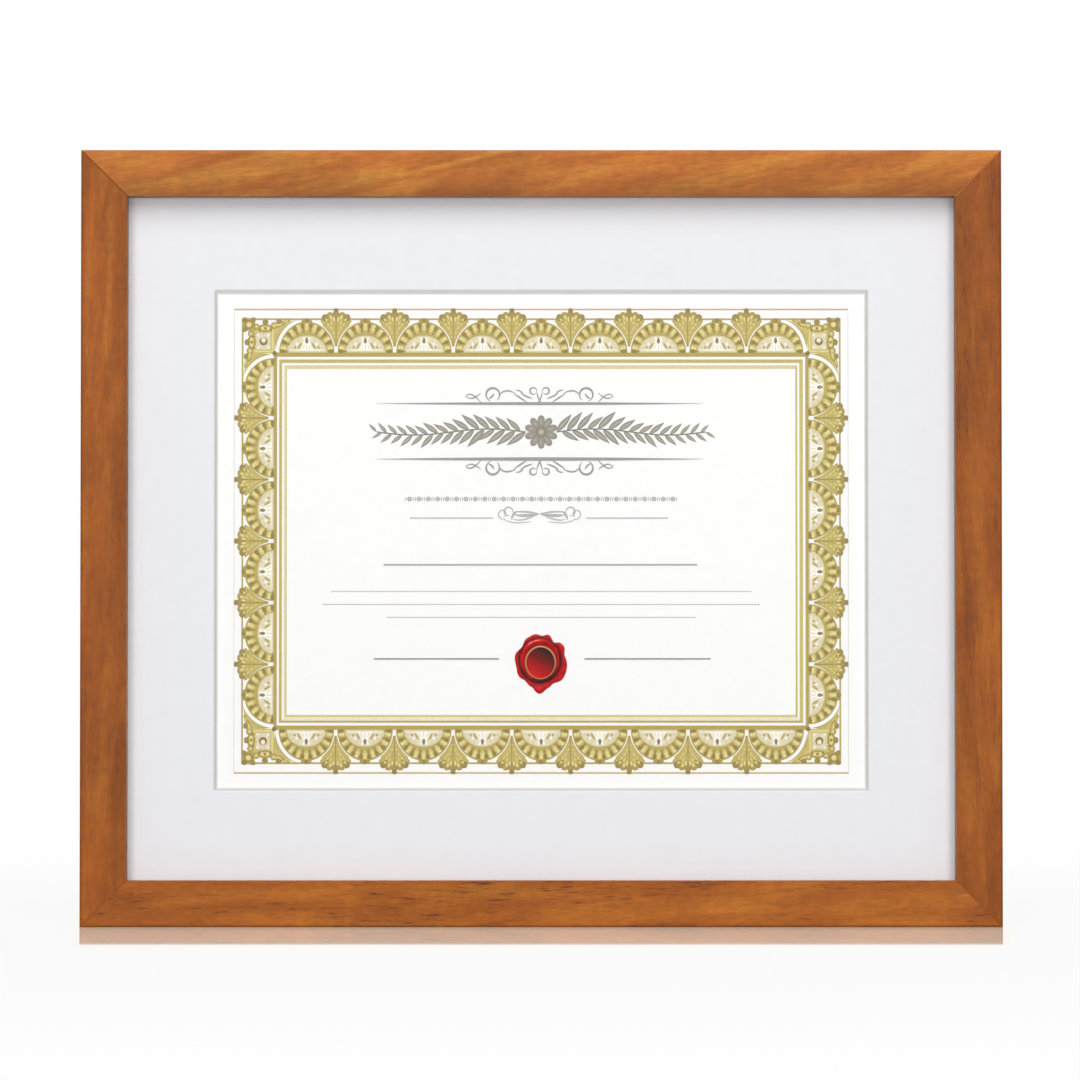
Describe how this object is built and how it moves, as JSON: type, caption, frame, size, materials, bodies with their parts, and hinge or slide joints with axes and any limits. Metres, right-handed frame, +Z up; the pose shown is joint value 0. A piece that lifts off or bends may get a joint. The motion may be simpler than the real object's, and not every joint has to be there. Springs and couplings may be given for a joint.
{
  "type": "certificate frame",
  "caption": "Landscape wooden certificate frame with glass, a white bevelled mat, a bordered award sheet with a wax seal, and an easel back with turn buttons and wall hangers.",
  "frame": {"origin": "middle of the underside of the bottom rail, on which the frame stands", "axes": "+X to the viewer's right along the width, -Y out of the front towards the viewer, +Z up"},
  "size_m": [0.39, 0.0239, 0.329],
  "materials": {
    "stained_wood": "orange-brown stain under a satin clear coat",
    "clear_glass": "polished",
    "white_mat": "fine matte paper face with a white core",
    "white_paper": "smooth matte",
    "red_wax": "glossy sealing wax with a gilt stamped ring",
    "linen_tape": "woven",
    "corrugated_card": "raw brown card",
    "black_hardboard": "black embossed paper over brown hardboard",
    "zinc_steel": "zinc plated",
    "nickel_steel": "satin nickel plated",
    "brass_plate": "brass plated, lightly tarnished",
    "felt": "pressed felt",
    "gold_ink": "printed gold ink",
    "grey_ink": "printed grey ink"
  },
  "bodies": {
    "frame": {"rail_top": "stained_wood", "rail_bottom": "stained_wood", "rail_left": "stained_wood", "rail_right": "stained_wood", "corner_v_nails": "zinc_steel", "glazing": "clear_glass", "mat_board": "white_mat", "certificate_sheet": "white_paper", "wax_seal": "red_wax", "hinge_tapes": "linen_tape", "filler_board": "corrugated_card", "backing_board": "black_hardboard", "turn_button_screws": "zinc_steel", "sawtooth_hanger_top": "brass_plate", "sawtooth_hanger_side": "brass_plate", "hanger_brads": "brass_plate", "wall_bumpers": "felt", "hinge_base_leaf": "nickel_steel", "base_leaf_rivets": "nickel_steel", "hinge_pin": "nickel_steel"},
    "strut": {"easel_strut": "black_hardboard", "hinge_strut_leaf": "nickel_steel", "strut_leaf_rivets": "nickel_steel"},
    "turn_button_top_left": {"turn_button_top_left": "zinc_steel"},
    "turn_button_top_right": {"turn_button_top_right": "zinc_steel"},
    "turn_button_bottom_left": {"turn_button_bottom_left": "zinc_steel"},
    "turn_button_bottom_right": {"turn_button_bottom_right": "zinc_steel"},
    "turn_button_left_upper": {"turn_button_left_upper": "zinc_steel"},
    "turn_button_left_lower": {"turn_button_left_lower": "zinc_steel"},
    "turn_button_right_upper": {"turn_button_right_upper": "zinc_steel"},
    "turn_button_right_lower": {"turn_button_right_lower": "zinc_steel"}
  },
  "joints": [
    {"name": "strut_hinge", "type": "hinge", "parent": "frame", "child": "strut", "pos_m": [0, 0.0115, 0.225], "axis": [1, 0, 0], "range_deg": [0, 24.5]},
    {"name": "turn_button_top_left_swivel", "type": "hinge", "parent": "frame", "child": "turn_button_top_left", "pos_m": [-0.11, 0.00935, 0.3222], "axis": [0, 1, 0], "range_deg": [-90, 90]},
    {"name": "turn_button_top_right_swivel", "type": "hinge", "parent": "frame", "child": "turn_button_top_right", "pos_m": [0.11, 0.00935, 0.3222], "axis": [0, 1, 0], "range_deg": [-90, 90]},
    {"name": "turn_button_bottom_left_swivel", "type": "hinge", "parent": "frame", "child": "turn_button_bottom_left", "pos_m": [-0.11, 0.00935, 0.0068], "axis": [0, 1, 0], "range_deg": [-90, 90]},
    {"name": "turn_button_bottom_right_swivel", "type": "hinge", "parent": "frame", "child": "turn_button_bottom_right", "pos_m": [0.11, 0.00935, 0.0068], "axis": [0, 1, 0], "range_deg": [-90, 90]},
    {"name": "turn_button_left_upper_swivel", "type": "hinge", "parent": "frame", "child": "turn_button_left_upper", "pos_m": [-0.1882, 0.00935, 0.2345], "axis": [0, 1, 0], "range_deg": [-90, 90]},
    {"name": "turn_button_left_lower_swivel", "type": "hinge", "parent": "frame", "child": "turn_button_left_lower", "pos_m": [-0.1882, 0.00935, 0.0945], "axis": [0, 1, 0], "range_deg": [-90, 90]},
    {"name": "turn_button_right_upper_swivel", "type": "hinge", "parent": "frame", "child": "turn_button_right_upper", "pos_m": [0.1882, 0.00935, 0.2345], "axis": [0, 1, 0], "range_deg": [-90, 90]},
    {"name": "turn_button_right_lower_swivel", "type": "hinge", "parent": "frame", "child": "turn_button_right_lower", "pos_m": [0.1882, 0.00935, 0.0945], "axis": [0, 1, 0], "range_deg": [-90, 90]}
  ]
}
